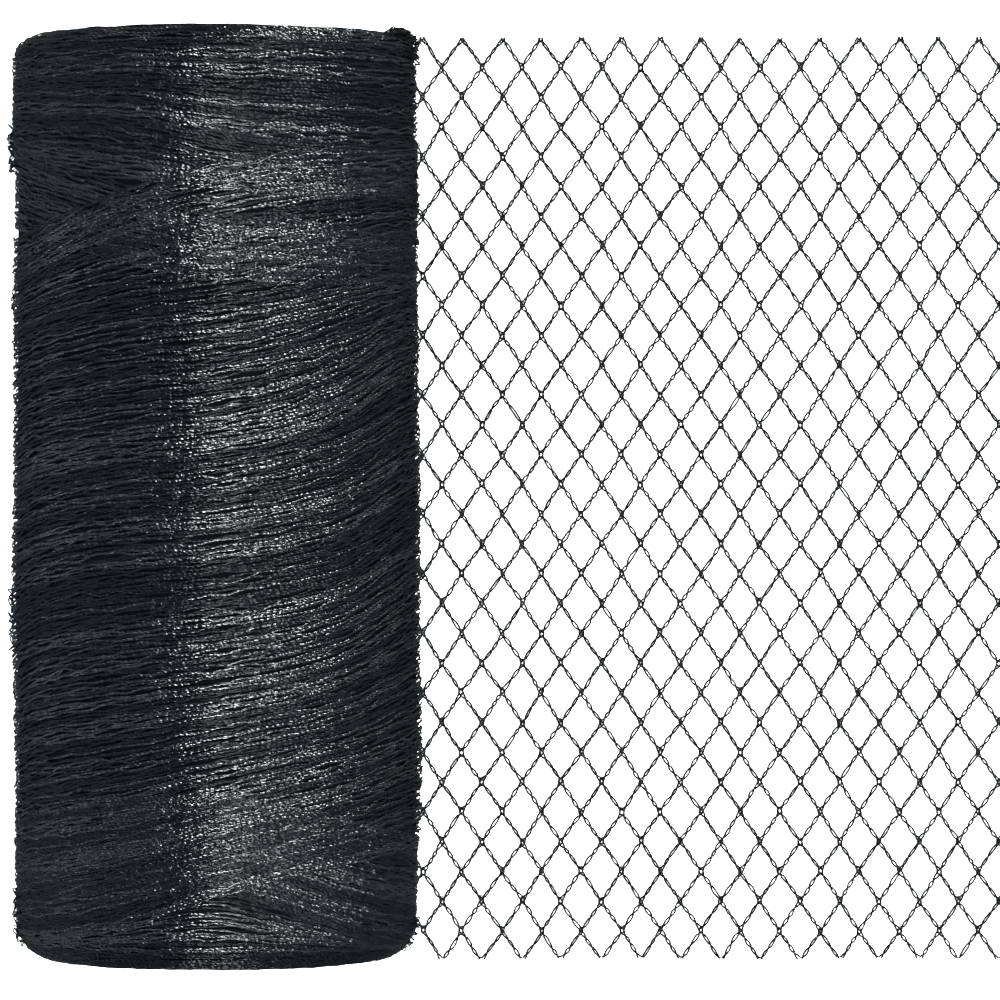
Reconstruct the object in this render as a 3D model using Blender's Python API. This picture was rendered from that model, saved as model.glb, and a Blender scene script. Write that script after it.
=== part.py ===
"""Roll of black bird netting, lying on its side with the loose end of the net laid out flat.

The roll's axis runs along Y, the loose end leaves under the roll towards +X, and Z is up.
The origin is the middle of the flat spot that the roll rests on. Everything is in metres.
"""

import math
from collections import namedtuple

import bmesh
import bpy
import numpy as np

MM = 0.001

# The roll: the whole net gathered into a band and wound up
ROLL_RADIUS = 70 * MM
NEAR_END, FAR_END = -157.5 * MM, 159 * MM  # its two ends, along Y
NEAR_SHOULDER = 13 * MM  # rounding of the near end, which slumps more
FAR_SHOULDER = 9 * MM
FLAT_DEPTH = 1.5 * MM  # how far the side that it rests on is pressed flat
AXIS_HEIGHT = ROLL_RADIUS - FLAT_DEPTH
LAYER_STEP = 0.8 * MM  # the last turns stand this much over those under them
EDGE_RUN = 1.2 * MM  # how far they take to step down at their edges
GROOVE = 1.3 * MM  # depth of the groove between two bunches of strands
BUNCH = 8.4 * MM  # from one bunch of strands to the next, along the axis
DIMPLE = 6 * MM  # depth of the hollow in the middle of each end

# Facets of the roll
AROUND = 56
FLAT_FACETS = 4
SHOULDER_FACETS = 4
FACET = 2 * math.pi / AROUND

# The net
BAR = 12.7 * MM  # one side of a mesh
MESH_WIDTH = 14.1 * MM  # a mesh as it lies, along X
MESH_LENGTH = 2 * math.sqrt(BAR**2 - (MESH_WIDTH / 2) ** 2)
YARN = 1.2 * MM
SWAY = 0.25 * MM  # how far a crossing lies from its even place, along X and along Y
SWAY_X, SWAY_Y = (1.9, 3.1), (2.7, -1.3)  # phase of each from column to column, row to row
PITCH_KEPT = 2  # the solid keeps every second strand of each direction

# The loose end, in half meshes from a mesh tip beside the roll
TIP_X = 70.1 * MM
TIP_Y = 164 * MM
CUT_Y = -162.3 * MM  # the near edge is cut through its last meshes
TUCK_X = 22 * MM  # where the loose end comes out from under the roll
FIRST_COLUMN, LAST_COLUMN = -6, 30
LAST_ROW = -30

NET_BLACK = (0.012, 0.015, 0.017, 1.0)
YARN_GLOSS = 0.42

Guide = namedtuple("Guide", "angle near_edge middle far_edge")
# Lines that the wound strands follow: the angle round the roll in degrees, from the top
# towards +X, and the places along the axis in mm of the near edge of the last turns, of a
# strand in their middle and of their far edge
GUIDES = (
    Guide(-130, -138, -11, 94),
    Guide(-77, -142, -17, 88),
    Guide(-45, -141, -12, 97),
    Guide(-20, -138, -8, 106),
    Guide(0, -131, -5, 111),
    Guide(20, -126, 0, 115),
    Guide(45, -122, 7, 117),
    Guide(65, -120, 18, 118),
    Guide(85, -118, 25, 120),
    Guide(130, -124, 16, 113),
    Guide(180, -131, 2, 104),
)

Outline = namedtuple("Outline", "along left right")
# How far the roll's sides reach from its axis, in mm, at places along it
OUTLINES = (
    Outline(-160, 68.6, 69.6),
    Outline(-135, 68.8, 70.0),
    Outline(-117, 68.9, 70.4),
    Outline(-95, 69.0, 71.2),
    Outline(-66, 69.4, 71.0),
    Outline(-37, 70.3, 70.5),
    Outline(0, 69.5, 70.7),
    Outline(20, 69.5, 70.4),
    Outline(66, 69.5, 69.6),
    Outline(112, 69.3, 69.7),
    Outline(122, 70.4, 70.0),
    Outline(160, 70.2, 69.5),
)

Fold = namedtuple("Fold", "share inset")
# Each end's turns, from the rim inwards: share of the rim's radius, and depth in mm
END_FOLDS = (
    Fold(0.88, 0.0),
    Fold(0.73, 2.2),
    Fold(0.58, 0.4),
    Fold(0.43, 2.6),
    Fold(0.28, 0.9),
    Fold(0.12, 4.2),
)

Turn = namedtuple("Turn", "guide shift sunk")


def clear_scene():
    for old in list(bpy.data.objects):
        bpy.data.objects.remove(old)


def net_material(name):
    material = bpy.data.materials.new(name)
    material.use_nodes = True
    shader = material.node_tree.nodes["Principled BSDF"]
    shader.inputs["Base Color"].default_value = NET_BLACK
    shader.inputs["Roughness"].default_value = YARN_GLOSS
    shader.inputs["Metallic"].default_value = 0.0
    return material


def add_object(name, bm, material_name):
    mesh = bpy.data.meshes.new(name)
    bm.to_mesh(mesh)
    bm.free()
    mesh.materials.append(net_material(material_name))
    thing = bpy.data.objects.new(name, mesh)
    bpy.context.scene.collection.objects.link(thing)
    return thing


def guide_lines(angle):
    """Places along the axis of the five lines that the strands follow, at one angle."""
    angles = [g.angle for g in GUIDES]
    between = [
        np.interp(math.degrees(angle), angles, [getattr(g, line) for g in GUIDES], period=360)
        for line in ("near_edge", "middle", "far_edge")
    ]
    near, far = NEAR_END + NEAR_SHOULDER, FAR_END - FAR_SHOULDER
    return [near, *(place * MM for place in between), far]


def side_radius(angle, along):
    """Radius of the roll at an angle and a place along its axis."""
    places = [o.along * MM for o in OUTLINES]
    left = np.interp(along, places, [o.left * MM for o in OUTLINES])
    right = np.interp(along, places, [o.right * MM for o in OUTLINES])
    return (left + right) / 2 + (right - left) / 2 * math.sin(angle)


def ring_at(along_at, radius_at):
    """One closed row of points round the roll, none of them under the surface it rests on."""
    ring = []
    for k in range(AROUND):
        angle = k * FACET
        along = along_at(angle)
        radius = radius_at(angle, along)
        height = AXIS_HEIGHT + radius * math.cos(angle)
        ring.append((radius * math.sin(angle), along, max(height, 0.0)))
    return ring


def side_ring(turn):
    """The row of points that one strand of the side follows, flat under the roll."""

    def along_at(angle):
        lines = guide_lines(angle)
        return np.interp(turn.guide, range(len(lines)), lines) + turn.shift

    ring = ring_at(along_at, lambda angle, along: side_radius(angle, along) - turn.sunk)
    lowest = AROUND // 2
    for k in range(lowest - FLAT_FACETS // 2, lowest + FLAT_FACETS // 2 + 1):
        ring[k] = (*ring[k][:2], 0.0)
    return ring


def band_of_turns(start, end, width, sunk):
    """Crests and grooves by turns, from one guide line to another, over a mean width."""
    count = 2 * round(width / BUNCH) + 1
    return [
        Turn(start + (end - start) * k / (count - 1), 0.0, sunk + GROOVE * (k % 2))
        for k in range(count)
    ]


def side_turns():
    """The rows of points along the side, from the near shoulder to the far one."""
    lines = [guide_lines(k * FACET) for k in range(AROUND)]
    near, near_edge, _, far_edge, far = np.mean(lines, axis=0)
    near_band = band_of_turns(0.0, 1.0, near_edge - near, LAYER_STEP)
    last_turns = band_of_turns(1.0, 3.0, far_edge - near_edge, 0.0)
    far_band = band_of_turns(3.0, 4.0, far - far_edge, LAYER_STEP)
    near_band[-1] = Turn(1.0, -EDGE_RUN, LAYER_STEP + GROOVE)
    far_band[0] = Turn(3.0, EDGE_RUN, LAYER_STEP + GROOVE)
    return near_band + last_turns + far_band


def end_rings(side, end, shoulder):
    """Rows of points from the side, round the shoulder and over the turns of the end face."""
    rings = []
    for k in range(1, SHOULDER_FACETS + 1):
        lean = math.pi / 2 * k / SHOULDER_FACETS
        place = end - side * shoulder * (1 - math.sin(lean))
        inwards = LAYER_STEP + shoulder * (1 - math.cos(lean))
        rings.append(
            ring_at(lambda _: place, lambda angle, along: side_radius(angle, along) - inwards)
        )
    for share, inset in END_FOLDS:
        place = end - side * inset * MM
        inwards = LAYER_STEP + shoulder
        rings.append(
            ring_at(
                lambda _: place,
                lambda angle, along: (side_radius(angle, along) - inwards) * share,
            )
        )
    return rings


def wound_net():
    """The roll as one solid: its outline, its bunches of strands and its rounded ends."""
    bm = bmesh.new()
    rings = end_rings(-1, NEAR_END, NEAR_SHOULDER)[::-1]
    rings += [side_ring(turn) for turn in side_turns()]
    rings += end_rings(1, FAR_END, FAR_SHOULDER)
    rows = [[bm.verts.new(point) for point in ring] for ring in rings]
    for low, high in zip(rows, rows[1:]):
        for k in range(AROUND):
            after = (k + 1) % AROUND
            bm.faces.new((low[k], low[after], high[after], high[k]))
    for row, place in ((rows[0], NEAR_END + DIMPLE), (rows[-1], FAR_END - DIMPLE)):
        centre = bm.verts.new((0.0, place, AXIS_HEIGHT))
        for k in range(AROUND):
            bm.faces.new((row[k], row[(k + 1) % AROUND], centre))
    bmesh.ops.recalc_face_normals(bm, faces=bm.faces)
    roll = add_object("wound_net", bm, "wound_yarn")
    roll.data.shade_smooth()


def crossing(column, row):
    """Where two strands of the loose end cross, a little off its even place."""
    x = TIP_X + column * MESH_WIDTH / 2 + SWAY * math.sin(np.dot(SWAY_X, (column, row)))
    y = TIP_Y + row * MESH_LENGTH / 2 + SWAY * math.sin(np.dot(SWAY_Y, (column, row)))
    return x, y


def is_kept(column, row):
    """Whether the solid keeps a crossing of the net."""
    step = 2 * PITCH_KEPT
    return (column + row) % step == 0 and (column - row) % step == 0


def corners_at(bm, column, row):
    """The four corners where two strands cross: far, right, near and left."""
    x, y = crossing(column, row)
    across = YARN / 2 * BAR / (MESH_LENGTH / 2)
    along = YARN / 2 * BAR / (MESH_WIDTH / 2)
    places = ((0, along), (across, 0), (0, -along), (-across, 0))
    return [bm.verts.new((x + dx, y + dy, 0.0)) for dx, dy in places]


def share_inside(start, end):
    """How much of a strand belongs to the loose end, where it ends before its next crossing."""
    (x, y), (to_x, to_y) = crossing(*start), crossing(*end)
    column, row = end
    if column > LAST_COLUMN or row > 0:
        return 0.0
    if to_x < TUCK_X:
        return (x - TUCK_X) / (x - to_x)
    return (y - CUT_Y) / (y - to_y)


def add_cut_strand(bm, left, right, start, end):
    """A strand that ends free at the net's edge, cut square."""
    share = share_inside(start, end)
    if share <= 0:
        return
    (x, y), (to_x, to_y) = crossing(*start), crossing(*end)
    length = math.hypot(to_x - x, to_y - y)
    out_x, out_y = (to_x - x) / length, (to_y - y) / length
    tip_x, tip_y = x + (to_x - x) * share, y + (to_y - y) * share
    half = YARN / 2
    tip_left = bm.verts.new((tip_x - out_y * half, tip_y + out_x * half, 0.0))
    tip_right = bm.verts.new((tip_x + out_y * half, tip_y - out_x * half, 0.0))
    bm.faces.new((left, right, tip_right, tip_left))


def loose_end():
    """The flat net as one solid, with every gap between its strands cut through."""
    bm = bmesh.new()
    corners = {
        (column, row): corners_at(bm, column, row)
        for column in range(FIRST_COLUMN, LAST_COLUMN + 1)
        for row in range(LAST_ROW, 1)
        if is_kept(column, row)
    }
    for (column, row), (far, right, near, left) in corners.items():
        bm.faces.new((far, left, near, right))
        # The four ways out of the crossing, each with its own left and right corner
        ways = ((1, 1, far, right), (1, -1, right, near), (-1, -1, near, left), (-1, 1, left, far))
        for step_x, step_y, out_left, out_right in ways:
            onward = (column + step_x * PITCH_KEPT, row + step_y * PITCH_KEPT)
            if onward not in corners:
                add_cut_strand(bm, out_left, out_right, (column, row), onward)
            elif step_x > 0:
                far_on, right_on, near_on, left_on = corners[onward]
                meets = (near_on, left_on) if step_y > 0 else (left_on, far_on)
                bm.faces.new((out_left, out_right, *meets))
    bmesh.ops.recalc_face_normals(bm, faces=bm.faces)
    bm.faces.ensure_lookup_table()
    if bm.faces[0].normal.z < 0:
        bmesh.ops.reverse_faces(bm, faces=bm.faces)
    net = add_object("loose_end", bm, "net_yarn")
    thickness = net.modifiers.new("yarn thickness", "SOLIDIFY")
    thickness.thickness = YARN
    thickness.offset = 1.0


def main():
    clear_scene()
    wound_net()
    loose_end()


main()
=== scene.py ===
"""Looks of the bird netting roll: its wound strands, the flat net, the floor, light and camera."""

import math
from collections import namedtuple

import bpy
import numpy as np
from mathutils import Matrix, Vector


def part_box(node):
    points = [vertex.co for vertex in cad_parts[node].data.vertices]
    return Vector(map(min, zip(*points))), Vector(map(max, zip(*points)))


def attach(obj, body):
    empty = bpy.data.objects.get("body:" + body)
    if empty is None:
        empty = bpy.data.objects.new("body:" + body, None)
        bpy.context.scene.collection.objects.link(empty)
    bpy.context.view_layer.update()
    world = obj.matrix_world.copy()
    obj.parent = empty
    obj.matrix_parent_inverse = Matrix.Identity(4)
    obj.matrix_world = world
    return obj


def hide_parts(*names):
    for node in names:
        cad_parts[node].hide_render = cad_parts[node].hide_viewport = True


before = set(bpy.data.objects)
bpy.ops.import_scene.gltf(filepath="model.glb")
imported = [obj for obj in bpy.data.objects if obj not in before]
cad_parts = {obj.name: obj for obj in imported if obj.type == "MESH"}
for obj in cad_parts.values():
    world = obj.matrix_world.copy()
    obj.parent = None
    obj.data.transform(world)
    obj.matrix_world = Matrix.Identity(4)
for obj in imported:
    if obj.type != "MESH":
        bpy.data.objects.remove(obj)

MM = 0.001
RNG = np.random.default_rng(11)

# The roll, from the frame
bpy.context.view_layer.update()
ROLL_LOW, ROLL_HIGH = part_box("wound_net")
NET_LOW, NET_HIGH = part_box("loose_end")
NEAR_END, FAR_END = ROLL_LOW.y, ROLL_HIGH.y
AXIS_HEIGHT = 68.5 * MM  # of the roll's axis above the floor
NEAR_SHOULDER, FAR_SHOULDER = 13 * MM, 9 * MM
SQUARER = 4 * MM  # how much sharper the far shoulder is on the side towards the flat net
CORE_DEPTH = 1.9 * MM  # of the closed core under the roll's outline
CORE_STEPS = 98  # round the roll
CORE_CLEAR = 0.4 * MM  # least height of the core above the floor
TWIST = 4.2 * MM  # length of one turn of a strand's twist
ZIGZAGS = 21  # times that a strand goes to and fro between its neighbours in one turn of the roll
ZIGZAG = 0.28 * MM  # how far it goes to each side
KINK = 0.13 * MM  # how far its fine kinks go
SWELL = 0.12 * MM  # how far it rises and falls
END_STRAND = 0.31 * MM  # radius of a strand wound over an end
END_RIM, END_HOLE = 62 * MM, 4 * MM  # radius at which such a strand starts, and ends
END_PITCH, END_STEP = 1.5 * MM, 2.4 * MM  # between its turns, and between its points
LOOP_YARN = 0.27 * MM  # radius of the yarn of a loop that stands off the roll

# The flat net
BAR = 12.7 * MM  # one side of a mesh
MESH_WIDTH = 14.1 * MM
MESH_LENGTH = 2 * math.sqrt(BAR**2 - (MESH_WIDTH / 2) ** 2)
SWAY = 0.25 * MM  # how far a crossing lies from its even place
SWAY_X, SWAY_Y = (1.9, 3.1), (2.7, -1.3)  # phase of each from column to column, row to row
TIP_X, TIP_Y = 70.1 * MM, 164 * MM  # the tip at the far edge that is next to the roll
CUT_Y = -163 * MM  # the near edge, cut across the bars
TUCK_X = 22 * MM  # the edge under the roll
CORNER_X, CORNER_Y = 69.3 * MM, -153.3 * MM  # the roll's near corner, past which no bar shows
FIRST_COLUMN, LAST_COLUMN, LAST_ROW = -6, 30, -31  # of crossings, counted from that tip
BAR_HEIGHT = 0.64 * MM  # of a bar's middle above the floor
BAR_SAMPLES = 12  # along one bar
JOINT_PULL, JOINT_REACH = 0.62, 0.11  # how much less a bar slants at a joint, and how far along it
CROSS_RISE, CROSS_REACH = 0.16 * MM, 0.2  # how far bars rise or sink to cross, and how far along
PLY = 0.385 * MM  # radius of each of a bar's two plies
PLY_CLOSE, PLY_OPEN = 0.32 * MM, 0.17 * MM  # how far each ply lies from the middle of its bar
PLY_TURNS = 1.5  # turns of the two plies round each other, along one bar
JOINT_OPEN, JOINT_HOLE = 1.2, 0.1  # how much further apart they lie at a joint, and how far along
KNIT_YARN = 0.5 * PLY  # radius of the yarn of a joint's ring
KNIT_HEIGHT, KNIT_STEPS = 0.62 * MM, 18  # of that ring

Outline = namedtuple("Outline", "along left right")
# How far the roll's sides reach from its axis, in mm, at places along it
OUTLINES = (
    Outline(-160, 68.6, 69.6),
    Outline(-135, 68.8, 70.0),
    Outline(-117, 68.9, 70.4),
    Outline(-95, 69.0, 71.2),
    Outline(-66, 69.4, 71.0),
    Outline(-37, 70.3, 70.5),
    Outline(0, 69.5, 70.7),
    Outline(20, 69.5, 70.4),
    Outline(66, 69.5, 69.6),
    Outline(112, 69.3, 69.7),
    Outline(122, 70.4, 70.0),
    Outline(160, 70.2, 69.5),
)

Fold = namedtuple("Fold", "share inset")
# The end's turns, from its middle outwards: share of the rim's radius, and depth in mm
END_FOLDS = (
    Fold(0.0, 6.0),
    Fold(0.12, 4.2),
    Fold(0.28, 0.9),
    Fold(0.43, 2.6),
    Fold(0.58, 0.4),
    Fold(0.73, 2.2),
    Fold(0.88, 0.0),
    Fold(1.0, 0.0),
)

# Places in mm along the axis of lines that strands follow, at angles round the roll in degrees
LastTurns = namedtuple("LastTurns", "angle far_edge upper high middle low lower near_edge")
LAST_TURNS = (
    LastTurns(-90, 88, 69, 51, 15, -24, -65, -149),
    LastTurns(-75, 88, 69, 51, 16, -23, -64, -148.5),
    LastTurns(-60, 90, 73, 54, 20, -19, -59, -148),
    LastTurns(-40, 97, 78, 58, 23, -15, -55, -146),
    LastTurns(-20, 105, 84, 61.5, 26, -12.5, -52, -142),
    LastTurns(0, 111.5, 88, 63.5, 29, -10.5, -49, -132),
    LastTurns(20, 115, 92, 67, 33, -7, -46, -126),
    LastTurns(40, 117.5, 96, 72.5, 41, -2, -40, -122),
    LastTurns(60, 119, 99.5, 76.5, 52, 8, -30, -119),
    LastTurns(75, 120.5, 101, 78, 56, 12.5, -25, -117.5),
    LastTurns(90, 121.5, 102, 79, 57, 14, -24, -117.5),
    LastTurns(180, 104, 85, 64, 35, -6, -46, -134),
)
FarTurns = namedtuple("FarTurns", "angle end rim upper lower hidden")
FAR_TURNS = (
    FarTurns(-90, 165, 150, 137, 127, 119),
    FarTurns(-60, 164, 148.5, 135, 125.5, 113),
    FarTurns(-30, 164, 148.5, 133, 122.5, 108),
    FarTurns(-15, 164, 148.5, 132, 119.5, 106),
    FarTurns(0, 164, 148.5, 129.5, 115.5, 104),
    FarTurns(15, 164, 148.5, 127.5, 112.5, 102),
    FarTurns(30, 164, 148.5, 127, 110.5, 102),
    FarTurns(60, 164, 148.5, 127.5, 110, 101),
    FarTurns(90, 165, 150, 129.5, 111, 102),
    FarTurns(180, 165, 149, 133, 117, 97),
)
Fan = namedtuple("Fan", "angle far near")
FAR_FAN = (
    Fan(-90, 122, 94),
    Fan(-75, 120, 92),
    Fan(-60, 116.5, 89),
    Fan(-45, 112.5, 85),
    Fan(-30, 108, 80),
    Fan(0, 95, 74),
    Fan(60, 90, 72),
    Fan(180, 107, 78),
)
NearTurns = namedtuple("NearTurns", "angle hidden fan_far fan_near band end")
NEAR_TURNS = (
    NearTurns(-90, -112, -138, -147, -151, -165),
    NearTurns(-60, -106, -134, -145, -151, -166),
    NearTurns(-30, -100, -126, -138, -151.5, -167),
    NearTurns(0, -97, -120, -127, -151.5, -167),
    NearTurns(15, -100, -125, -132.5, -151.2, -167),
    NearTurns(30, -103.5, -130.5, -139, -151.5, -166),
    NearTurns(45, -107.5, -135.5, -145, -152, -166),
    NearTurns(60, -111, -139.5, -149.5, -153, -165),
    NearTurns(90, -116, -143, -153, -155, -165),
    NearTurns(180, -118, -136, -146, -152, -165),
)

Family = namedtuple("Family", "rows first last strands radius low high wander shine steps")
# Strands that lie side by side: the lines between which they lie, how many there are, their
# radius, how deep and how high they lie under the roll's outline and how far they stray, all in
# mm, how glossy the glossiest of them is, and its steps round the roll
LAST_UNDER = Family(LAST_TURNS, 0.02, 5.98, 160, 0.33, -1.5, -1.05, 0.8, 0.6, 140)
LAST_OVER = Family(LAST_TURNS, 0.0, 6.0, 245, 0.35, -0.95, -0.4, 0.6, 1.0, 190)
LAST_LOOSE = Family(LAST_TURNS, 0.15, 5.9, 24, 0.3, -0.35, -0.2, 1.8, 1.0, 200)
FAR_UNDER = Family(FAR_TURNS, 0.0, 4.0, 60, 0.33, -1.9, -1.4, 0.8, 0.5, 140)
FAR_OVER = Family(FAR_TURNS, 0.0, 4.0, 70, 0.34, -1.3, -0.8, 0.7, 0.9, 180)
FAN_STRANDS = Family(FAR_FAN, 0.0, 1.0, 42, 0.34, -1.3, -0.85, 0.7, 0.9, 180)
NEAR_UNDER = Family(NEAR_TURNS, 0.0, 4.0, 70, 0.33, -1.9, -1.4, 0.8, 0.5, 140)
NEAR_FAN = Family(NEAR_TURNS, 0.0, 3.0, 96, 0.33, -1.3, -0.9, 0.6, 0.8, 180)
NEAR_BAND = Family(NEAR_TURNS, 3.0, 4.0, 24, 0.31, -1.3, -0.9, 0.6, 0.6, 165)

LooseLoops = namedtuple("LooseLoops", "angle near far loops lift")
# Where loops stand off the roll: angle, places in mm, how many and how far
LOOSE_LOOPS = (
    LooseLoops(-86, 113, 127, 30, 1.5),
    LooseLoops(-88, 64, 77, 10, 0.9),
    LooseLoops(-88, -50, -30, 16, 1.1),
    LooseLoops(-84, -151, -134, 22, 1.1),
    LooseLoops(88, 88, 120, 22, 0.8),
    LooseLoops(88, 48, 72, 10, 0.8),
    LooseLoops(84, -154, -144, 12, 0.6),
    LooseLoops(79, 157.5, 162.5, 44, 2.3),
    LooseLoops(85, 150, 157, 12, 1.0),
)

EndLayer = namedtuple("EndLayer", "start depth")
# Layers of strands over each end: where one starts, in radians, and its depth in mm
END_LAYERS = (EndLayer(0, 1.2), EndLayer(2.0, 1.9))

YarnLook = namedtuple("YarnLook", "name dark light roughness gloss twist_depth fleck_depth")
# A yarn's colour in its grooves, painted shade, and on its plies, painted highlight, its roughness
# and gloss, and how deep its twist and its finer unevenness are
# Painted shade for the grooves between plies, painted highlight for the lit plies
SHADED_GROOVE, LIT = (0.0006, 0.0008, 0.0011), (0.0037, 0.0048, 0.006)
WOUND = YarnLook("wound yarn", SHADED_GROOVE, LIT, 0.2, 1.0, 0.37 * MM, 0.4 * MM)
DULL = YarnLook("dull yarn", SHADED_GROOVE, LIT, 0.24, 0.2, 0.37 * MM, 0.4 * MM)
# The inner yarn's light colour is a touch darker: painted shade on the deeper strands
INNER = YarnLook("inner yarn", SHADED_GROOVE, (0.0037, 0.0047, 0.0058), 0.28, 0.2, 0.37 * MM, 0.4 * MM)
# The same painted shade and painted highlight for the yarn of the flat net
NET_SHADED_GROOVE, NET_LIT = (0.001, 0.0012, 0.0015), (0.0028, 0.0034, 0.004)
SINGLE = YarnLook("net yarn", NET_SHADED_GROOVE, NET_LIT, 0.5, 0.12, 0.15 * MM, 0.15 * MM)
# The core's colours, darker than the yarns': painted shade deep in the roll
CORE_DARK, CORE_LIGHT = (0.0004, 0.0005, 0.0007), (0.002, 0.0026, 0.0033)
PATCHES = 300.0  # scale of the patches in which twist and gloss vary
FLECKS_ALONG, FLECKS_ROUND = 3.2, 1.5  # flecks in one turn of the twist, and round the yarn
FLECKS_APART = 90.0  # how far the flecks of a glossy and a dull strand lie apart in the noise
PAINTED_FLECK_SCALE = 1.6  # how much finer than the flecks the painted glints and painted shade in the colour are

Lamp = namedtuple("Lamp", "name x height aim width power colour reflected")
# Lamps along the roll: where each hangs, the height over the roll's place at which it is aimed and
# how wide it is, all in metres, its power in watts, and whether the gloss of the yarns shows it
LAMPS = (
    Lamp("key", 0.65, 1.25, 0.07, 0.27, 92, (0.94, 0.975, 1.0), True),
    Lamp("fill from the left", -1.3, 0.5, 0.0, 0.22, 6.5, (0.92, 0.97, 1.0), True),
    Lamp("soft fill", -1.4, 0.25, 0.07, 0.5, 130, (0.9, 0.97, 1.0), False),
    Lamp("fill from the right", 1.3, 0.4, 0.0, 0.22, 4, (0.95, 0.98, 1.0), True),
)
LAMP_LENGTH = 2.0  # metres
SKY, SKY_STRENGTH = (0.86, 0.94, 1, 1), 0.19
FLOOR_GREY, FLOOR_GLOW = 0.92, 0.95
CAMERA_X, CAMERA_HEIGHT = 97.6 * MM, 2068.5 * MM
LENS, SENSOR = 209.8, 36.0  # in mm


# Places on the roll


def side_radius(angle, along):
    """Radius of the roll at angles and places along its axis."""
    places = [o.along * MM for o in OUTLINES]
    left = np.interp(along, places, [o.left * MM for o in OUTLINES])
    right = np.interp(along, places, [o.right * MM for o in OUTLINES])
    return (left + right) / 2 + (right - left) / 2 * np.sin(angle)


def on_roll(angle, place, height, clear=END_STRAND):
    """Points on the roll and which way is out there. A place runs along the side in metres, and on
    over the shoulder and the end. No point comes nearer than clear to the floor."""
    far = place > 0
    way = np.where(far, 1.0, -1.0)
    towards_net = np.maximum(np.sin(angle), 0.0) ** 3
    shoulder = np.where(far, FAR_SHOULDER - SQUARER * towards_net, NEAR_SHOULDER)
    start = np.where(far, FAR_END, NEAR_END) - way * shoulder
    past = np.maximum((place - start) * way, 0.0)
    lean = np.minimum(past / shoulder, math.pi / 2)
    inwards = np.maximum(past - shoulder * math.pi / 2, 0.0)
    along = np.where(past > 0, start + way * shoulder * np.sin(lean), place)
    side = side_radius(angle, along)
    radius = side - shoulder * (1 - np.cos(lean)) - inwards
    shares = [fold.share for fold in END_FOLDS]
    insets = [fold.inset * MM for fold in END_FOLDS]
    along = along - way * np.interp(radius / (side - shoulder), shares, insets)
    out_round, out_along = np.cos(lean), way * np.sin(lean)
    radius = radius + height * out_round
    along = along + height * out_along
    points = np.stack(
        (
            radius * np.sin(angle),
            along,
            np.maximum(AXIS_HEIGHT + radius * np.cos(angle), clear),
        ),
        axis=-1,
    )
    out = np.stack((out_round * np.sin(angle), out_along, out_round * np.cos(angle)), axis=-1)
    return points, out


def angles_round(steps):
    """The steps round the roll, from its underside over -X and its top."""
    return np.linspace(-math.pi, math.pi, steps, endpoint=False)


def lines_round(rows, angles):
    """The places of a table's lines at those angles, with their corners rounded."""
    knots = [row.angle for row in rows]
    columns = np.array([row[1:] for row in rows]).T * MM
    lines = np.array([np.interp(np.degrees(angles), knots, c, period=360) for c in columns])
    window = np.hanning(13)[1:-1]
    shifts = np.arange(len(window)) - len(window) // 2
    return sum(w * np.roll(lines, s, axis=1) for w, s in zip(window, shifts)) / window.sum()


def wander(count, angles, size, slowest=2, fastest=46):
    """Smooth closed unevenness of that size for count strands, at those angles."""
    waves = np.arange(slowest, fastest)
    sizes = RNG.normal(0, 1, (count, len(waves))) / waves**0.75
    phases = RNG.uniform(0, 2 * math.pi, (count, len(waves)))
    turns = np.sin(waves[None, :, None] * angles + phases[:, :, None])
    values = np.einsum("sw,swn->sn", sizes, turns)
    return values * size / values.std()


def zigzag(count, angles, size):
    """How strands go to and fro, each against its neighbours, as the sides of closed meshes do."""
    phase = math.pi * np.arange(count)[:, None] + wander(count, angles, 0.7, 1, 6)
    swing = size * (1 + wander(count, angles, 0.35, 1, 12))
    return swing * np.sin(ZIGZAGS * angles + phase)


def strands_of(family):
    """A family's strands as yarns."""
    angles = angles_round(family.steps)
    lines = lines_round(family.rows, angles)
    count = family.strands
    # Evenly apart in metres, however far apart the lines are
    apart = np.abs(np.diff(lines.mean(axis=1)))
    reach = np.concatenate(([0.0], np.cumsum(apart)))
    ends = np.interp((family.first, family.last), range(len(lines)), reach)
    level = np.linspace(*ends, count) + RNG.normal(0, 0.25, count) * np.ptp(ends) / count
    level = np.clip(np.interp(level, reach, range(len(lines))), 0, len(lines) - 1 - 1e-6)
    low = level.astype(int)
    share = (level - low)[:, None]
    place = lines[low] * (1 - share) + lines[low + 1] * share
    place = place + wander(count, angles, family.wander * MM / 2) + zigzag(count, angles, ZIGZAG)
    place = place + wander(count, angles, KINK, 30, 70)
    deep = RNG.uniform(family.low, family.high, (count, 1)) * MM
    height = deep + wander(count, angles, SWELL, 3, 60)
    # Neighbours are somewhat alike in gloss, and the glossy ones are thicker
    shine = 0.5 + 0.22 * smooth_noise(count, 5) + RNG.uniform(-0.4, 0.4, count)
    shine = np.clip(shine, 0, 1) * family.shine
    thick = family.radius * MM * (0.9 + 0.25 * shine[:, None])
    radius = thick * (1 + wander(count, angles, 0.12, 12, 90))
    points, out = on_roll(angles[None, :], place, height, clear=radius)
    return [Yarn(*yarn, True) for yarn in zip(points, out, radius, shine)]


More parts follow.
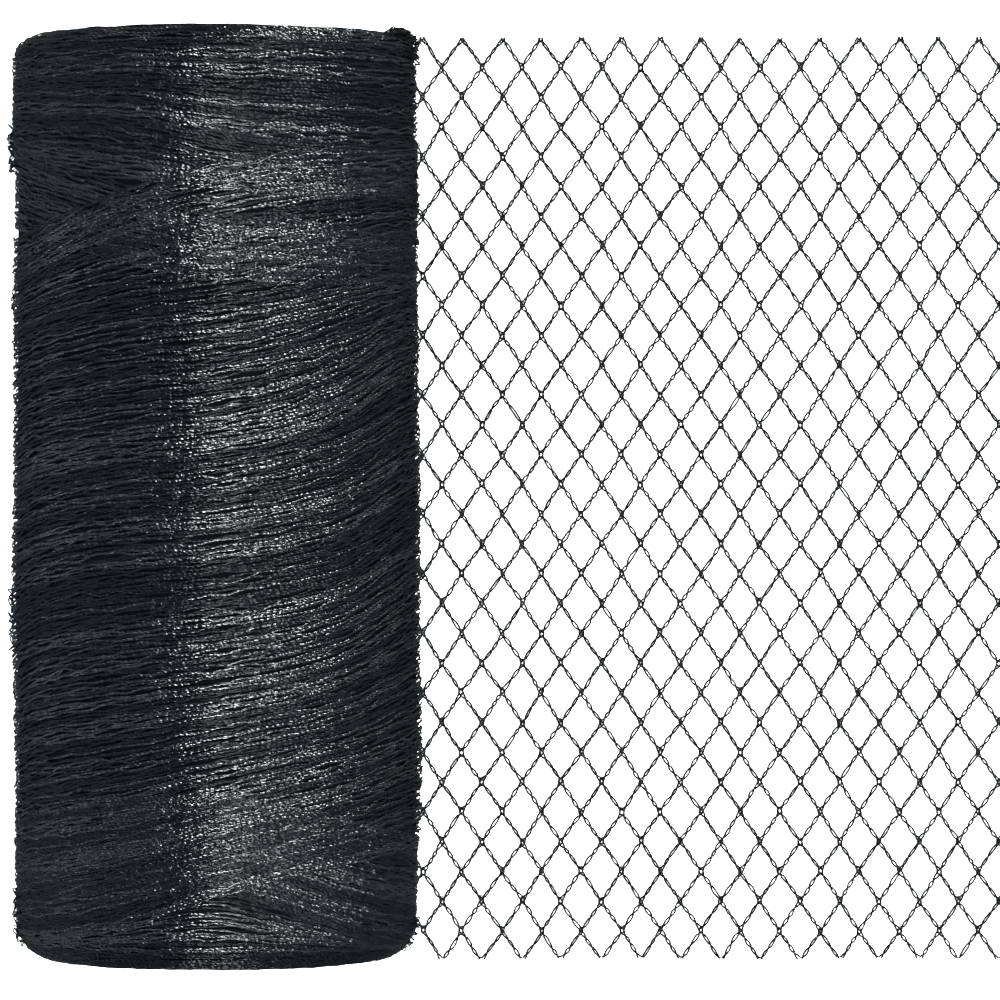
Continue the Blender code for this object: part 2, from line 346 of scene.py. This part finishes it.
def loose_loops():
    """Short loops that stand off the roll where its strands are slack."""
    yarns = []
    along = np.linspace(-1, 1, 11)
    bow = 1 - along**2
    for row in LOOSE_LOOPS:
        for _ in range(row.loops):
            middle = math.radians(row.angle + RNG.uniform(-9, 9))
            span = math.radians(RNG.uniform(3, 8))
            place = RNG.uniform(row.near, row.far) + RNG.uniform(-2.2, 2.2) * bow
            place = place + RNG.uniform(-1.5, 1.5) * along
            height = -0.7 + (0.5 + row.lift * RNG.uniform(0.4, 1.0)) * bow
            points, out = on_roll(middle + span * along, place * MM, height * MM)
            radius = np.full(len(along), LOOP_YARN)
            yarns.append(Yarn(points, out, radius, RNG.uniform(0.3, 1.0), False))
    return yarns


def smooth_noise(count, width):
    """Unevenness of size 1 along an open line of count points, smooth over width of them."""
    window = np.hanning(width + 2)[1:-1]
    noise = RNG.normal(0, 1, count + width - 1)
    return np.convolve(noise, window / np.sqrt((window**2).sum()), "valid")


# Meshes


Yarn = namedtuple("Yarn", "points up radius shine closed")
ROUND = (-30, 90, 210)  # places round a yarn that is seen from all sides, in degrees
OUTER = (-12, 90, 192)  # the same for one that lies against others, only its outer side


def yarn_piece(name, yarns, material, section=OUTER):
    """One piece of many yarns, with the places round them that the section names."""
    vertices, normals, faces, corners, shines, caps = [], [], [], [], [], []
    first = 0
    turn = np.radians(section)
    sides = len(turn)
    strips = sides if section == ROUND else sides - 1
    for yarn in yarns:
        points = yarn.points
        count = len(points)
        if yarn.closed:
            ahead = np.roll(points, -1, axis=0) - np.roll(points, 1, axis=0)
        else:
            ahead = np.gradient(points, axis=0)
        ahead /= np.linalg.norm(ahead, axis=1, keepdims=True)
        across = np.cross(ahead, yarn.up)
        across /= np.linalg.norm(across, axis=1, keepdims=True)
        rise = np.cross(across, ahead)
        around = (
            np.cos(turn)[None, :, None] * across[:, None, :]
            + np.sin(turn)[None, :, None] * rise[:, None, :]
        )
        vertices.append((points[:, None, :] + around * yarn.radius[:, None, None]).reshape(-1, 3))
        # The outer side of a pressed strand is flatter than a round one's
        outward = around + rise[:, None, :] * (1.2 if section == OUTER else 0)
        normals.append(outward.reshape(-1, 3))
        steps = np.linalg.norm(np.diff(points, axis=0, append=points[:1]), axis=1)
        length = np.concatenate(([0.0], np.cumsum(steps))) / TWIST * RNG.uniform(0.85, 1.2)
        length = length + RNG.uniform(0, 1)
        rows = np.arange(count if yarn.closed else count - 1)[:, None]
        after = (rows + 1) % count
        columns = np.arange(strips)[None, :]
        beside = (columns + 1) % sides
        quads = (
            rows * sides + columns,
            after * sides + columns,
            after * sides + beside,
            rows * sides + beside,
        )
        faces.append(np.stack(quads, axis=-1).reshape(-1, 4) + first)
        near, far = length[rows], length[rows + 1]
        here = turn[columns] / (2 * math.pi)
        there = here + (turn[beside] - turn[columns]) % (2 * math.pi) / (2 * math.pi)
        ends = ((near, here), (far, here), (far, there), (near, there))
        places = [np.stack(np.broadcast_arrays(*end), axis=-1) for end in ends]
        corners.append(np.stack(places, axis=-2).reshape(-1, 2))
        shines.append(np.full(count * sides, yarn.shine))
        if section == ROUND and not yarn.closed:
            last = first + (count - 1) * sides
            caps.append(list(range(first, first + sides)))
            caps.append(list(range(last, last + sides))[::-1])
        first += count * sides
    mesh = bpy.data.meshes.new(name)
    mesh.from_pydata(np.concatenate(vertices), [], np.concatenate(faces).tolist() + caps)
    corners.append(np.zeros((sides * len(caps), 2)))
    layer = mesh.uv_layers.new(name="along the yarn")
    layer.uv.foreach_set("vector", np.concatenate(corners).astype(np.float32).ravel())
    shine = mesh.attributes.new("shine", "FLOAT", "POINT")
    shine.data.foreach_set("value", np.concatenate(shines).astype(np.float32))
    mesh.shade_smooth()
    mesh.normals_split_custom_set_from_vertices(np.concatenate(normals).tolist())
    mesh.materials.append(material)
    piece = bpy.data.objects.new(name, mesh)
    bpy.context.scene.collection.objects.link(piece)
    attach(piece, "root")
    return piece


def wound_pair(name, yarns, glossy, dull):
    """Two pieces of a family's yarns: the glossier half and the duller."""
    yarns = sorted(yarns, key=lambda yarn: yarn.shine)
    half = len(yarns) // 2
    wound_piece(name + "_dull", yarns[:half], dull)
    wound_piece(name + "_glossy", yarns[half:], glossy)


def wound_piece(name, yarns, material, section=OUTER):
    """One piece of yarns that stands for the roll."""
    piece = yarn_piece(name, yarns, material, section)
    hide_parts("wound_net")


def core_piece(material):
    """The closed turns under the outer strands, which fill the dark between them; their colour,
    darker than the yarns', is painted shade deep in the roll.
    """
    places = np.concatenate(
        (np.linspace(-226, -146, 22), np.linspace(-143, 148, 60), np.linspace(151, 226, 22))
    )
    angles = angles_round(CORE_STEPS)
    grid = np.meshgrid(places * MM, angles, indexing="ij")
    height = np.full(grid[0].shape, -CORE_DEPTH)
    points, _ = on_roll(grid[1], grid[0], height, clear=CORE_CLEAR)
    rows, columns = grid[0].shape
    faces = [
        (
            row * columns + column,
            row * columns + (column + 1) % columns,
            (row + 1) * columns + (column + 1) % columns,
            (row + 1) * columns + column,
        )
        for row in range(rows - 1)
        for column in range(columns)
    ]
    faces.append(tuple(range(columns))[::-1])
    faces.append(tuple((rows - 1) * columns + column for column in range(columns)))
    mesh = bpy.data.meshes.new("wound_core")
    mesh.from_pydata(points.reshape(-1, 3), [], faces)
    mesh.shade_smooth()
    mesh.materials.append(material)
    piece = bpy.data.objects.new("wound_core", mesh)
    bpy.context.scene.collection.objects.link(piece)
    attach(piece, "root")
    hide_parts("wound_net")


def end_spiral(side, start_angle, height):
    """A strand wound over one end, from its rim to its middle."""
    angle, angles = start_angle, []
    inwards, places = 0.0, []
    while inwards < END_RIM - END_HOLE:
        angles.append(angle)
        places.append(inwards)
        step = END_STEP / (END_RIM - inwards)
        angle += step
        inwards += END_PITCH * step / (2 * math.pi)
    count = len(angles)
    stray, lift = smooth_noise(count, 21) * 0.5 * MM, smooth_noise(count, 21) * 0.2 * MM
    if side > 0:
        first = FAR_END - FAR_SHOULDER + FAR_SHOULDER * math.pi / 2
    else:
        first = NEAR_END + NEAR_SHOULDER - NEAR_SHOULDER * math.pi / 2
    place = first + side * (np.array(places) + stray)
    points, out = on_roll(np.array(angles), place, height + lift)
    return Yarn(points, out, np.full(count, END_STRAND), 0.5, False)


# The flat net


def crossing(column, row):
    """Where two bars of the flat net cross."""
    x = TIP_X + column * MESH_WIDTH / 2 + SWAY * math.sin(np.dot(SWAY_X, (column, row)))
    y = TIP_Y + row * MESH_LENGTH / 2 + SWAY * math.sin(np.dot(SWAY_Y, (column, row)))
    return x, y


def diagonal(column, row, way):
    """The middle line of a strand of bars from a crossing down the net, to the left or right."""
    knots = []
    while FIRST_COLUMN - 1 <= column <= LAST_COLUMN and row >= LAST_ROW:
        knots.append(crossing(column, row))
        column += way
        row -= 1
    return np.array(knots)


def net_bars():
    """Both plies of every strand of the flat net."""
    columns = range(FIRST_COLUMN, LAST_COLUMN + 1, 2)
    starts = [(column, 0, way) for column in columns for way in (1, -1)]
    starts += [(FIRST_COLUMN - 1, row, 1) for row in range(-1, LAST_ROW, -2)]
    starts += [(LAST_COLUMN, row, -1) for row in range(-2, LAST_ROW, -2)]
    yarns = []
    for column, row, way in starts:
        knots = diagonal(column, row, way)
        if len(knots) < 2:
            continue
        along = np.arange((len(knots) - 1) * BAR_SAMPLES + 1) / BAR_SAMPLES
        off = along - np.round(along)
        x = np.interp(along, range(len(knots)), knots[:, 0])
        y = np.interp(along, range(len(knots)), knots[:, 1])
        # Near a crossing the two strands run side by side along the net before they part
        x = x - way * off * MESH_WIDTH / 2 * JOINT_PULL * np.exp(-((off / JOINT_REACH) ** 2))
        x = x + smooth_noise(len(along), 7) * 0.12 * MM
        over = CROSS_RISE * way * np.cos(math.pi * along) * np.exp(-((off / CROSS_REACH) ** 2))
        middle = np.stack((x, y, BAR_HEIGHT + over), axis=-1)
        turn = 2 * math.pi * PLY_TURNS * along + smooth_noise(len(along), 9) * 0.5
        turn = turn + RNG.uniform(-0.6, 0.6)
        ahead = np.gradient(middle[:, :2], axis=0)
        ahead /= np.linalg.norm(ahead, axis=1, keepdims=True)
        spread = 1 + 0.6 * np.tanh(smooth_noise(len(along), 9))
        spread = spread + JOINT_OPEN * np.exp(-((off / JOINT_HOLE) ** 2))
        keep = (x > TUCK_X) & (y > CUT_Y) & (y < NET_HIGH.y)
        keep &= (x > CORNER_X) | (y > CORNER_Y)
        if keep.sum() < 3:
            continue
        for ply in (0, math.pi):
            lie = np.cos(turn + ply)
            beside = PLY_CLOSE * np.tanh(3 * lie) + PLY_OPEN * spread * lie**3
            points = middle.copy()
            points[:, 0] += -ahead[:, 1] * beside
            points[:, 1] += ahead[:, 0] * beside
            points[:, 2] += np.sin(turn + ply) * 0.3 * MM
            points[:, 2] = np.maximum(points[:, 2], PLY)
            up = np.tile((0.0, 0.0, 1.0), (keep.sum(), 1))
            radius = np.full(keep.sum(), PLY)
            yarns.append(Yarn(points[keep], up, radius, RNG.uniform(), False))
    return yarns


def net_loops():
    """The small rings of the knitting, one round every joint of the flat net."""
    yarns = []
    turn = np.arange(KNIT_STEPS) * 2 * math.pi / KNIT_STEPS
    for row in range(0, LAST_ROW - 1, -1):
        for column in range(FIRST_COLUMN, LAST_COLUMN + 1):
            x, y = crossing(column, row)
            if (column + row) % 2 or x < TUCK_X + MM or y < CUT_Y + MM:
                continue
            wide = RNG.uniform(0.6, 0.9) * MM
            tall = RNG.uniform(1.1, 1.6) * MM
            lean = RNG.uniform(-0.5, 0.5)
            # At the far edge the ring hangs under its joint
            rise = 0.3 * MM if row else -1.3 * MM
            points = np.stack(
                (
                    x + wide * np.sin(turn) + lean * MM * np.cos(turn),
                    y + tall * np.cos(turn) + rise,
                    KNIT_HEIGHT + 0.3 * MM * np.cos(2 * turn),
                ),
                axis=-1,
            )
            points[:, 1] = np.minimum(points[:, 1], NET_HIGH.y)
            up = np.tile((0.0, 0.0, 1.0), (len(points), 1))
            radius = np.full(len(turn), KNIT_YARN)
            yarns.append(Yarn(points, up, radius, RNG.uniform(), True))
    return yarns


# Materials


def shader_of(material, colour, roughness, gloss=0.5):
    """A material's shader, with the values that are the same all over it."""
    material.use_nodes = True
    shader = material.node_tree.nodes["Principled BSDF"]
    shader.inputs["Base Color"].default_value = (*colour, 1.0)
    shader.inputs["Roughness"].default_value = roughness
    shader.inputs["Specular IOR Level"].default_value = gloss
    return shader


def joined(tree, kind, inputs, **settings):
    """A node with its settings and inputs, which are values or other nodes' outputs."""
    node = tree.nodes.new(kind)
    for name, value in settings.items():
        setattr(node, name, value)
    for key, value in inputs.items():
        if isinstance(value, bpy.types.NodeSocket):
            tree.links.new(value, node.inputs[key])
        else:
            node.inputs[key].default_value = value
    return node.outputs


def maths(tree, operation, first, second=0.0):
    """What comes of an operation on two values or outputs."""
    return joined(tree, "ShaderNodeMath", {0: first, 1: second}, operation=operation)[0]


def noise_at(tree, places, scale, detail=2.0):
    """Noise of that scale at those places."""
    inputs = {"Vector": places, "Scale": scale, "Detail": detail}
    return joined(tree, "ShaderNodeTexNoise", inputs)["Fac"]


def between(tree, share, dark, light):
    """A colour between two, by that share of the light one."""
    inputs = {"Factor": share, 6: (*dark, 1.0), 7: (*light, 1.0)}
    return joined(tree, "ShaderNodeMix", inputs, data_type="RGBA")[2]


def yarn_material(look):
    """Twisted plastic yarn: two plies, fine unevenness, strands that differ in gloss, and a colour
    with painted shade in the grooves and painted glint flecks on the plies.
    """
    material = bpy.data.materials.new(look.name)
    shader = shader_of(material, look.dark, look.roughness, look.gloss)
    tree = material.node_tree
    place = joined(tree, "ShaderNodeUVMap", {}, uv_map="along the yarn")["UV"]
    parts = joined(tree, "ShaderNodeSeparateXYZ", {0: place})
    shine = joined(tree, "ShaderNodeAttribute", {}, attribute_name="shine")["Fac"]
    where = joined(tree, "ShaderNodeTexCoord", {})["Object"]
    patches = noise_at(tree, where, PATCHES)
    turns = maths(tree, "ADD", parts["X"], parts["Y"])
    turns = maths(tree, "ADD", turns, maths(tree, "MULTIPLY", patches, 0.8))
    turns = maths(tree, "MULTIPLY", turns, 2 * math.pi)
    plies = maths(tree, "ABSOLUTE", maths(tree, "COSINE", turns))
    spot = joined(
        tree,
        "ShaderNodeCombineXYZ",
        {
            "X": maths(tree, "MULTIPLY", parts["X"], FLECKS_ALONG),
            "Y": maths(tree, "MULTIPLY", parts["Y"], FLECKS_ROUND),
            "Z": maths(tree, "MULTIPLY", shine, FLECKS_APART),
        },
    )[0]
    flecks = noise_at(tree, spot, 1.0)
    relief = maths(tree, "MULTIPLY", plies, look.twist_depth / look.fleck_depth)
    relief = maths(tree, "ADD", relief, flecks)
    bump = joined(
        tree, "ShaderNodeBump", {"Strength": 1.0, "Distance": look.fleck_depth, "Height": relief}
    )
    tree.links.new(bump["Normal"], shader.inputs["Normal"])
    # The colour holds painted shade in the grooves between plies and painted glint flecks on them
    mixed = maths(tree, "MULTIPLY", plies, noise_at(tree, spot, PAINTED_FLECK_SCALE))
    mixed = maths(tree, "SUBTRACT", maths(tree, "MULTIPLY", mixed, 3.0), 0.4)
    tree.links.new(between(tree, mixed, look.dark, look.light), shader.inputs["Base Color"])
    # Rough in the grooves between plies and on the duller strands
    rough = maths(tree, "SUBTRACT", look.roughness + 0.2, maths(tree, "MULTIPLY", shine, 0.12))
    rough = maths(tree, "SUBTRACT", rough, maths(tree, "MULTIPLY", plies, 0.1))
    rough = maths(tree, "SUBTRACT", rough, maths(tree, "MULTIPLY", patches, 0.2))
    tree.links.new(rough, shader.inputs["Roughness"])
    return material


def core_material():
    """The turns under the outer strands: nearly black, darker than the yarns as painted shade deep
    in the roll, with the grain of strands.
    """
    material = bpy.data.materials.new("innermost yarn")
    shader = shader_of(material, (0.001, 0.001, 0.001), 0.8, 0.02)
    tree = material.node_tree
    where = joined(tree, "ShaderNodeTexCoord", {})["Object"]
    grain = joined(tree, "ShaderNodeMapping", {"Vector": where, "Scale": (60.0, 1000.0, 60.0)})[0]
    strands = noise_at(tree, grain, 1.0, 1.0)
    fine = joined(tree, "ShaderNodeMapping", {"Vector": where, "Scale": (500.0, 1200.0, 500.0)})[0]
    flecks = noise_at(tree, fine, 1.0)
    bump = joined(tree, "ShaderNodeBump", {"Distance": 0.6 * MM, "Height": strands})
    tree.links.new(bump["Normal"], shader.inputs["Normal"])
    # Darker than the yarns' colours, as painted shade deep in the roll, with the grain of strands
    mixed = maths(tree, "MULTIPLY", maths(tree, "MULTIPLY", strands, flecks), 4.0)
    mixed = maths(tree, "SUBTRACT", mixed, 0.6)
    tree.links.new(between(tree, mixed, CORE_DARK, CORE_LIGHT), shader.inputs["Base Color"])
    return material


# Floor, light and camera


def floor_piece():
    """A pale floor, weakly lit from within as a light table is."""
    mesh = bpy.data.meshes.new("floor")
    half = 3.0  # metres
    corners = [(-half, -half, 0), (half, -half, 0), (half, half, 0), (-half, half, 0)]
    mesh.from_pydata(corners, [], [(0, 1, 2, 3)])
    floor = bpy.data.objects.new("floor", mesh)
    bpy.context.scene.collection.objects.link(floor)
    material = bpy.data.materials.new("pale floor")
    shader = shader_of(material, (FLOOR_GREY, FLOOR_GREY, FLOOR_GREY), 0.9)
    shader.inputs["Emission Color"].default_value = (1, 1, 1, 1)
    shader.inputs["Emission Strength"].default_value = FLOOR_GLOW
    mesh.materials.append(material)
    # The gloss of the yarns shows the lamps and the sky only
    floor.visible_glossy = False


def add_light(lamp):
    """A long soft lamp beside or over the roll, turned towards it."""
    light = bpy.data.lights.new(lamp.name, "AREA")
    light.shape = "RECTANGLE"
    light.size, light.size_y = lamp.width, LAMP_LENGTH
    light.energy = lamp.power
    light.color = lamp.colour
    thing = bpy.data.objects.new(lamp.name, light)
    thing.location = (lamp.x, 0.0, lamp.height)
    thing.rotation_euler = (0.0, math.atan2(lamp.x, lamp.height - lamp.aim), 0.0)
    thing.visible_glossy = lamp.reflected
    bpy.context.scene.collection.objects.link(thing)


def add_sky():
    """Weak even light from all around."""
    world = bpy.data.worlds.new("studio")
    world.use_nodes = True
    background = world.node_tree.nodes["Background"]
    background.inputs["Color"].default_value = SKY
    background.inputs["Strength"].default_value = SKY_STRENGTH
    bpy.context.scene.world = world


def add_camera():
    """Straight above the roll and the net, at the distance that gives the photo's perspective."""
    camera = bpy.data.cameras.new("camera")
    camera.sensor_width = SENSOR
    camera.lens = LENS
    thing = bpy.data.objects.new("camera", camera)
    thing.location = (CAMERA_X, 0.0, CAMERA_HEIGHT)
    bpy.context.scene.collection.objects.link(thing)
    bpy.context.scene.camera = thing


def main():
    """The roll, the flat net, the floor, the lights and the camera."""
    wound, dull, inner, single = (yarn_material(look) for look in (WOUND, DULL, INNER, SINGLE))
    core_piece(core_material())
    wound_piece("last_turns_under", strands_of(LAST_UNDER), inner)
    wound_pair("last_turns", strands_of(LAST_OVER), wound, dull)
    wound_piece("last_turns_loose", strands_of(LAST_LOOSE), wound, ROUND)
    wound_piece("loose_loops", loose_loops(), dull, ROUND)
    wound_piece("far_turns_under", strands_of(FAR_UNDER), inner)
    wound_pair("far_turns", strands_of(FAR_OVER) + strands_of(FAN_STRANDS), wound, dull)
    wound_piece("near_turns_under", strands_of(NEAR_UNDER), inner)
    wound_piece("near_band", strands_of(NEAR_BAND), dull)
    wound_pair("near_turns", strands_of(NEAR_FAN), wound, dull)
    for name, side in (("near_end_turns", -1), ("far_end_turns", 1)):
        spirals = [end_spiral(side, layer.start, -layer.depth * MM) for layer in END_LAYERS]
        wound_piece(name, spirals, wound)
    net = yarn_piece("flat_net", net_bars(), single, ROUND)
    loops = yarn_piece("net_knitting", net_loops(), single, ROUND)
    for piece in (net, loops):
        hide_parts("loose_end")
    # The rest of the rectangle is open mesh
    floor_piece()
    for lamp in LAMPS:
        add_light(lamp)
    add_sky()
    bpy.context.scene.view_settings.view_transform = "Standard"
    add_camera()


main()
